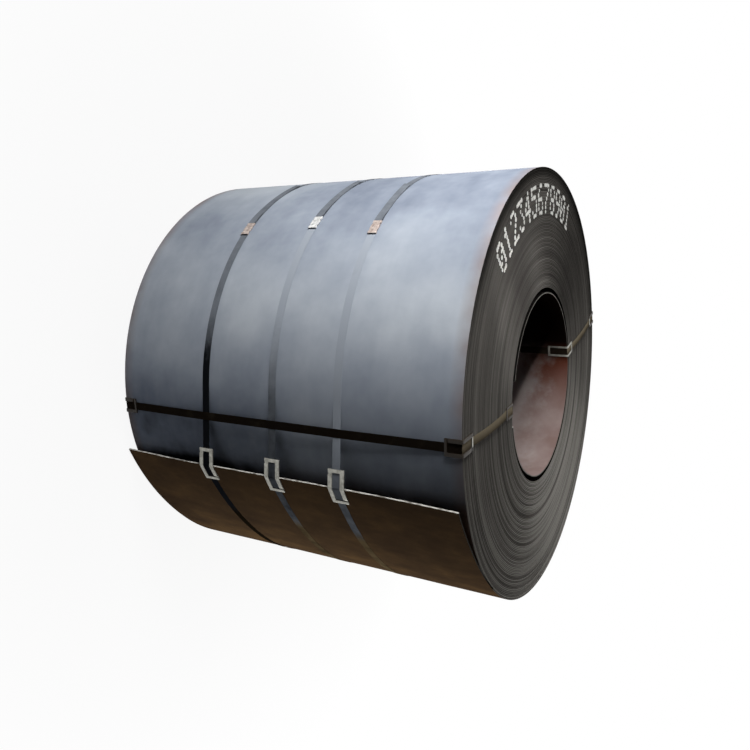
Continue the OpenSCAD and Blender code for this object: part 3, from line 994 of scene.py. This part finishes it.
def strap_sheet(strap, guard, legs, width, plate, rise, bar):
    """A protector with a strap in its channel; rise is the room over the strap under its bars."""
    under = plate + strap.thickness + rise
    channel = strap.width + 2 * guard.room
    return Sheet(legs, width, channel, plate, under, under + guard.bar_sheet, bar, guard.slot)


def right_angle(s, h):
    """How far a point lies beyond a square edge each way; s runs along the sheet bent over it, h above it."""
    if s <= -BEND:
        return s, h
    if s >= BEND:
        return h, -s
    turn = (s + BEND) / (2 * BEND) * math.pi / 2
    return -BEND + (BEND + h) * math.sin(turn), -BEND + (BEND + h) * math.cos(turn)


def hooked_sheet(name, sheet, place, free, finishes):
    """A bent plate with raised rails and a bar at each end, from the full cells of a grid along the sheet.

    place maps s along the sheet from its bend, w across it and h above it to a point. Each bar joins one
    rail, and free has the sign of w at each bar's free end. The last finish is on the second leg's bar.
    """
    s = list(np.linspace(-BEND, BEND, BEND_ROWS))
    for sign, leg in zip((-1, 1), sheet.legs):
        marks = (leg, leg - sheet.bar, leg - sheet.bar - sheet.slot)
        s += [sign * m for m in (*marks, *np.linspace(marks[2], BEND, 4)[1:-1])]
    s = np.unique(np.round(s, 7))
    w = np.array([-sheet.width, -sheet.channel, sheet.channel, sheet.width]) / 2
    h = np.array([0, sheet.plate, sheet.under, sheet.top])
    along = (s[:-1] + s[1:]) / 2
    full = np.zeros((len(along), 3, 3), bool)
    full[:, :, 0] = full[:, 0] = full[:, 2] = True
    for sign, leg, side in zip((-1, 1), sheet.legs, free):
        rail = 0 if side < 0 else 2
        bar = sign * along > leg - sheet.bar
        slot = (sign * along > leg - sheet.bar - sheet.slot) & ~bar
        full[bar, 1, 2] = True
        full[bar, rail, 1] = False
        full[slot, rail, 1:] = False
    grid = np.array([[[place(p, q, t) for t in h] for q in w] for p in s])
    index = np.arange(grid.size // 3).reshape(grid.shape[:3])
    faces, slots = [], []
    for cell in np.argwhere(full):
        for axis in range(3):
            for side in (0, 1):
                beyond = cell.copy()
                beyond[axis] += 2 * side - 1
                inside = 0 <= beyond[axis] < full.shape[axis] and full[tuple(beyond)]
                if not inside:
                    corners = index[tuple(slice(k, k + 2) for k in cell)].take(side, axis=axis)
                    faces.append([corners[0, 0], corners[0, 1], corners[1, 1], corners[1, 0]])
                    on_bar = cell[2] == 2 and cell[1] == 1 and along[cell[0]] > 0
                    slots.append(len(finishes) - 1 if on_bar else 0)
    piece = make_object(name, grid.reshape(-1, 3), faces, finishes, slots)
    used = bmesh.new()
    used.from_mesh(piece.data)
    bmesh.ops.delete(used, geom=[v for v in used.verts if not v.link_faces], context="VERTS")
    used.to_mesh(piece.data)
    used.free()
    turn_outward(piece.data)
    bevel = piece.modifiers.new("edges", "BEVEL")
    bevel.width, bevel.segments = BEVEL, 2
    bevel.limit_method, bevel.angle_limit = "ANGLE", BEVEL_ANGLE
    piece.data = applied(piece)
    piece.data.name = name
    smooth_shade(piece.data)
    return piece


class COIL_OT_tail_guards(bpy.types.Operator):
    """Build the hooked protectors on the tail's edge"""

    bl_idname = "coil.tail_guards"
    bl_label = "Tail Edge Protectors"

    def execute(self, context):
        coil, strap, guard, c = groups(context)
        finish = pressed_sheet("bare_pressed_sheet", c.sheet_dark, c.sheet, 0.7)
        tail = Tail(coil, strap, guard)
        legs = (guard.tail_leg, guard.tail_leg)
        sizes = (guard.tail_width, guard.tail_sheet, guard.room, guard.tail_bar)
        sheet = strap_sheet(strap, guard, legs, *sizes)
        for hoop in HOOPS:
            x = middle("tail_guard_" + hoop).z

            def place(s, w, h):
                if s > BEND:
                    u, v = tail.at(strap.seat + h, tail.edge + (s - BEND) / tail.radius)
                else:
                    turn = max(s + BEND, 0) / (2 * BEND)
                    lean = tail.touch + turn * (tail.edge - tail.touch)
                    u, v = (
                        tail.at(strap.seat, tail.edge)
                        + h * unit(lean)
                        + max(-BEND - s, 0) * unit(tail.touch - math.pi / 2)
                    )
                return stand(u, v, x + w)

            piece = hooked_sheet("tail_protector_" + hoop, sheet, place, (-1, 1), [finish])
            settle(piece, "tail_guard_" + hoop)
        return {"FINISHED"}


class COIL_OT_rim_guards(bpy.types.Operator):
    """Build the hooked protectors under the eye straps at the outer rim"""

    bl_idname = "coil.rim_guards"
    bl_label = "Rim Protectors"

    def execute(self, context):
        coil, strap, guard, c = groups(context)
        finishes = [
            pressed_sheet("browned_pressed_sheet", c.wax_dark, c.browned, 0.0),
            bpy.data.materials["bare_pressed_sheet"],
        ]
        legs = (guard.rim_leg, guard.rim_face)
        sheet = strap_sheet(strap, guard, legs, guard.rim_width, guard.sheet, guard.rim_rise, guard.bar)
        for eye in EYES:
            a = angle_of("eye_seal_" + eye)
            out, across = unit(a), unit(a + math.pi / 2)
            for end, sign in ENDS:

                def place(s, w, h):
                    beyond, above = right_angle(s, h)
                    u, v = (coil.radius + strap.seat + above) * out + w * across
                    return stand(u, v, sign * (coil.width / 2 + strap.seat + beyond))

                piece = hooked_sheet(f"rim_protector_{eye}_{end}", sheet, place, (-1, 1), finishes)
                settle(piece, f"rim_guard_{eye}_{end}")
        return {"FINISHED"}


class COIL_OT_bore_guards(bpy.types.Operator):
    """Build the hooked protectors under the eye straps at the rims of the bore"""

    bl_idname = "coil.bore_guards"
    bl_label = "Bore Protectors"

    def execute(self, context):
        coil, strap, guard, _ = groups(context)
        finishes = [bpy.data.materials[name + "_pressed_sheet"] for name in ("browned", "bare")]
        legs = (guard.bore_leg, guard.bore_face)
        sheet = strap_sheet(strap, guard, legs, guard.bore_width, guard.sheet, guard.room, guard.bar)
        for eye, r, free, finish in zip(EYES, (coil.wound, coil.bore), ((-1, 1), (1, -1)), finishes):
            a = angle_of("eye_seal_" + eye)
            out, across = unit(a), unit(a + math.pi / 2)
            for end, sign in ENDS:

                def place(s, w, h):
                    beyond, above = right_angle(s, h)
                    # The leg in the bore follows its wall, and the other one is flat at its far end
                    hollow = (r - math.sqrt(r * r - w * w)) * min(1 + min(above, 0) / guard.bore_face, 1)
                    u, v = (r - guard.bore_seat - above - hollow) * out + w * across
                    return stand(u, v, sign * (coil.width / 2 + strap.seat + beyond))

                piece = hooked_sheet(f"bore_protector_{eye}_{end}", sheet, place, free, [finish])
                settle(piece, f"bore_guard_{eye}_{end}")
        return {"FINISHED"}


class COIL_OT_eye_straps(bpy.types.Operator):
    """Build the two straps through the bore"""

    bl_idname = "coil.eye_straps"
    bl_label = "Eye Straps"

    # How much the wax is worn off along the coil, and on the lower and the upper edge on its right end, where
    # the lower edge is darker as a painted shadow under the bowed strap
    RUBBED = (0.05, 0.25, 1.0)
    # Radius of the strap's bends at the rims
    CORNER = 2 * MM
    # Points of the bow and its fullness; points through the bore and the first one's share of the width
    BOW_POINTS, FULL, BORE_POINTS, THROUGH = 20, 0.6, 5, 0.48

    def execute(self, context):
        coil, strap, guard, c = groups(context)
        finish = strapping("waxed_strapping", c.wax_dark, c.wax_pale, c.strap_tint)
        tail = Tail(coil, strap, guard)
        for eye, r in zip(EYES, (coil.wound, coil.bore)):
            a = angle_of("eye_seal_" + eye)
            line = self.line(coil, strap, guard, tail, a, r)
            points = stand(line[:, 1] * math.cos(a), line[:, 1] * math.sin(a), line[:, 0])
            name = "strap_through_bore_" + eye
            piece = swept_strap(name, points, True, strap.width, strap.thickness, finish)
            start = (coil.radius + r - strap.seal_length) / 2 - strap.eye_lead
            lap = np.linspace(start, start + strap.eye_lap, 4)
            points = ring(lap, a, line[:, 0].min() - strap.thickness)
            join(piece, swept_strap("lap", points, False, strap.width, strap.thickness, finish))
            # On the right end the lower edge is kept darker, a painted shadow under the strap
            on_end = [
                (1 + (v.co.x < v.co.y * -math.tan(a))) * (v.co.z > coil.width / 2)
                for v in piece.data.vertices
            ]
            set_attribute(piece, "rubbed", np.take(self.RUBBED, on_end))
            settle(piece, "eye_strap_" + eye)
        return {"FINISHED"}

    def line(self, coil, strap, guard, tail, a, r):
        """The strap's middle line, as places along the bore and distances from its axis."""
        t, half_strap = strap.thickness, strap.width / 2
        lift = guard.sheet + 2 * strap.seat + t / 2
        end, rim = coil.width / 2 + lift, coil.radius + lift
        hollow = r - math.sqrt(r * r - half_strap**2)
        inner = r - guard.bore_seat - guard.sheet - strap.seat - hollow - t / 2
        # It rises over the hoop straps, which run straight from the coil to the tail's edge
        off = max(a - tail.touch, 0) if a > math.pi / 2 else 0
        crest = (coil.radius + 1.5 * t + 3 * strap.seat + half_strap * math.sin(off)) / math.cos(off)
        bends = self.CORNER * unit(np.radians((90, 67.5, 45, 22.5, 0)))
        # On the right end it stands off between the two protectors that hold it
        d = np.linspace(r + guard.bore_face, rim - guard.rim_face, self.BOW_POINTS)
        bow = strap.bow * np.sin(np.linspace(0, math.pi, self.BOW_POINTS)) ** self.FULL
        hoops = [middle("hoop_strap_" + hoop).z for hoop in HOOPS]
        over = [(x + k * strap.width, crest) for x in hoops for k in (-1, 1)]
        near = end - self.CORNER
        right = np.concatenate(
            [
                bends * (1, -1) + (near, inner + self.CORNER),
                np.stack([end + bow, d], 1),
                bends[::-1] + (near, rim - self.CORNER),
            ]
        )
        left = np.concatenate(
            [
                bends * (-1, 1) + (-near, rim - self.CORNER),
                (bends * -1)[::-1] + (-near, inner + self.CORNER),
            ]
        )
        along = np.linspace(-self.THROUGH, self.THROUGH, self.BORE_POINTS) * coil.width
        through = np.stack([along, np.full(self.BORE_POINTS, inner)], 1)
        return np.concatenate([right, np.array(over)[::-1], left, through])


class COIL_OT_count(bpy.types.Operator):
    """Spray a plain count in dots of paint on the right end"""

    bl_idname = "coil.count"
    bl_label = "Count"

    SEED = 3
    SMALLEST = 0.7
    DEPTH = 0.3 * MM
    # Width of a dot's column as a share of the step between digits
    COLUMN = 0.155

    def execute(self, context):
        coil, count = context.scene.coil_sizes, context.scene.coil_count
        step = (count.end - count.start) / (len(count.digits) - 1)
        rise = (count.outer - count.inner) / 6
        dots = [
            (count.outer - row * rise, count.start + (i + (column - 2) * self.COLUMN) * step)
            for i, digit in enumerate(count.digits)
            for row, bits in enumerate(DIGITS[int(digit)])
            for column in range(5)
            if bits >> (4 - column) & 1
        ]
        r, a = np.array(dots).T
        values = {
            "Radius": count.dot / 2,
            "Height": self.DEPTH,
            "Smallest": self.SMALLEST,
            "Seed": self.SEED,
            "Finish": marking_paint(context.scene.coil_finishes),
        }
        piece = grow("sprayed_count", ring(r, a, coil.width / 2 + self.DEPTH / 2), [], dots_tree(), values)
        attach(piece, "root")
        return {"FINISHED"}


class COIL_OT_stage(bpy.types.Operator):
    """Set the camera at the photograph's view, the soft lights and the pale floor"""

    bl_idname = "coil.stage"
    bl_label = "Stage"

    # Each light's name, kind, property with its power, place and aim: over the coil near its right end,
    # before that end, under the tail, and into the bore from above
    LIGHTS = (
        ("key_softbox", "AREA", "key", (-1.3, 3.25, 1.45), (-0.2, 0.3, 0.65)),
        ("end_softbox", "AREA", "fill", (0.6, 1.2, 2.8), (0.0, 0.0, 0.75)),
        ("ground_bounce", "AREA", "bounce", (0.2, -3.0, 0.2), (-0.4, -0.5, 0.0)),
        ("bore_spot", "SPOT", "inside", (-1.467, 1.784, 1.403), (0.05, -0.1, 0.72)),
    )
    SHAPES = {
        "key_softbox": {"size": 1.6, "spread": math.radians(70)},
        "end_softbox": {"size": 1.6, "spread": math.radians(120)},
        "ground_bounce": {"size": 1.8, "spread": math.radians(110)},
        "bore_spot": {"shadow_soft_size": 0.04, "spot_size": math.radians(21), "spot_blend": 0.6},
    }
    # How far the picture's middle lies from the bore's, as shares of its width
    SHIFT = (-0.01623, -0.00383)
    # The floor: how far below the coil, half its side, and how white it is seen from one distance to another
    FLOOR_GAP, FLOOR_SIDE = 0.2 * MM, 12.0
    NEAR, FAR, NEAR_WHITE, FAR_WHITE = 1.0, 2.6, 0.9, 1.0

    def execute(self, context):
        scene, stage = context.scene, context.scene.coil_stage
        scene.view_settings.view_transform = "Standard"
        self.camera(scene, stage)
        for name, kind, strength, place, aim in self.LIGHTS:
            self.lamp(scene, name, kind, getattr(stage, strength), place, aim)
        self.room(scene, stage)
        self.floor(scene)
        return {"FINISHED"}

    def camera(self, scene, stage):
        a, e = stage.azimuth, stage.elevation
        back = Vector(stand(-math.cos(a) * math.cos(e), math.sin(e), math.sin(a) * math.cos(e)))
        up = Vector(stand(math.cos(a) * math.sin(e), math.cos(e), -math.sin(a) * math.sin(e)))
        data = bpy.data.cameras.new("photo_view")
        data.lens = stage.lens
        data.shift_x, data.shift_y = self.SHIFT
        camera = bpy.data.objects.new("photo_view", data)
        scene.collection.objects.link(camera)
        turn = Matrix((up.cross(back), up, back)).transposed().to_4x4()
        camera.matrix_world = Matrix.Translation(back * stage.distance) @ turn
        scene.camera = camera

    def lamp(self, scene, name, kind, watts, place, aim):
        data = bpy.data.lights.new(name, kind)
        data.energy = watts
        for key, value in self.SHAPES[name].items():
            setattr(data, key, value)
        lamp = bpy.data.objects.new(name, data)
        scene.collection.objects.link(lamp)
        lamp.location = stand(*place)
        lamp.visible_camera = False
        lamp.rotation_euler = (Vector(stand(*aim)) - lamp.location).to_track_quat("-Z", "Y").to_euler()

    def room(self, scene, stage):
        world = bpy.data.worlds.new("white_room")
        world.use_nodes = True
        tree = world.node_tree
        back = tree.nodes["Background"]
        back.inputs["Color"].default_value = (1, 1, 1, 1)
        level = add(tree, "ShaderNodeMix", {"Factor": self.seen(tree), "A": stage.ambient, "B": 1.0})
        tree.links.new(level.outputs[0], back.inputs["Strength"])
        scene.world = world

    def floor(self, scene):
        """Matt pale floor, topped up towards white where it is seen, so that it keeps the coil's shadow."""
        low, side = CAD_BOX[0].z - self.FLOOR_GAP, self.FLOOR_SIDE
        matt = Surface("pale_matt_floor", roughness=0.9, specular=0.1)
        tree = matt.tree
        matt.shader.inputs["Base Color"].default_value = scene.coil_finishes.floor
        far = add(tree, "ShaderNodeVectorMath", {0: matt.place}, operation="LENGTH")
        far = matt.remap(far, self.NEAR, self.FAR, self.NEAR_WHITE, self.FAR_WHITE)
        share = matt.maths("MULTIPLY", self.seen(tree), far)
        glow = add(tree, "ShaderNodeEmission", {"Color": (1, 1, 1, 1), "Strength": 1.0})
        both = add(tree, "ShaderNodeMixShader", {0: share, 1: matt.shader, 2: glow})
        tree.links.new(both.outputs[0], tree.nodes["Material Output"].inputs["Surface"])
        points = [(-side, -side, low), (side, -side, low), (side, side, low), (-side, side, low)]
        make_object("floor", points, [(0, 1, 2, 3)], [matt.material])

    def seen(self, tree):
        """1 for rays that show the background: from the camera, or by reflection or through glass."""
        path = add(tree, "ShaderNodeLightPath").outputs
        most = path["Is Camera Ray"]
        for other in ("Is Glossy Ray", "Is Transmission Ray"):
            most = add(tree, "ShaderNodeMath", {0: most, 1: path[other]}, operation="MAXIMUM")
        return most


class COIL_PT_panel(bpy.types.Panel):
    """Lists the operators that build the coil"""

    bl_idname = "COIL_PT_panel"
    bl_label = "Steel Coil"
    bl_space_type = "VIEW_3D"
    bl_region_type = "UI"
    bl_category = "Coil"

    def draw(self, context):
        for operator in OPERATORS:
            self.layout.operator(operator.bl_idname)


GROUPS = {
    "coil_sizes": CoilSizes,
    "coil_straps": StrapSizes,
    "coil_guards": GuardSizes,
    "coil_count": CountSizes,
    "coil_finishes": Finishes,
    "coil_stage": StageSizes,
}
OPERATORS = (
    COIL_OT_coil,
    COIL_OT_hoop_straps,
    COIL_OT_seals,
    COIL_OT_tail_guards,
    COIL_OT_eye_straps,
    COIL_OT_rim_guards,
    COIL_OT_bore_guards,
    COIL_OT_count,
    COIL_OT_stage,
)
CLASSES = (*GROUPS.values(), *OPERATORS, COIL_PT_panel)


def register():
    for item in CLASSES:
        bpy.utils.register_class(item)
    for name, group in GROUPS.items():
        setattr(bpy.types.Scene, name, PointerProperty(type=group))


def unregister():
    for name in GROUPS:
        delattr(bpy.types.Scene, name)
    for item in reversed(CLASSES):
        bpy.utils.unregister_class(item)


def main():
    register()
    for operator in OPERATORS:
        area, name = operator.bl_idname.split(".")
        getattr(getattr(bpy.ops, area), name)()


if __name__ == "__main__":
    main()
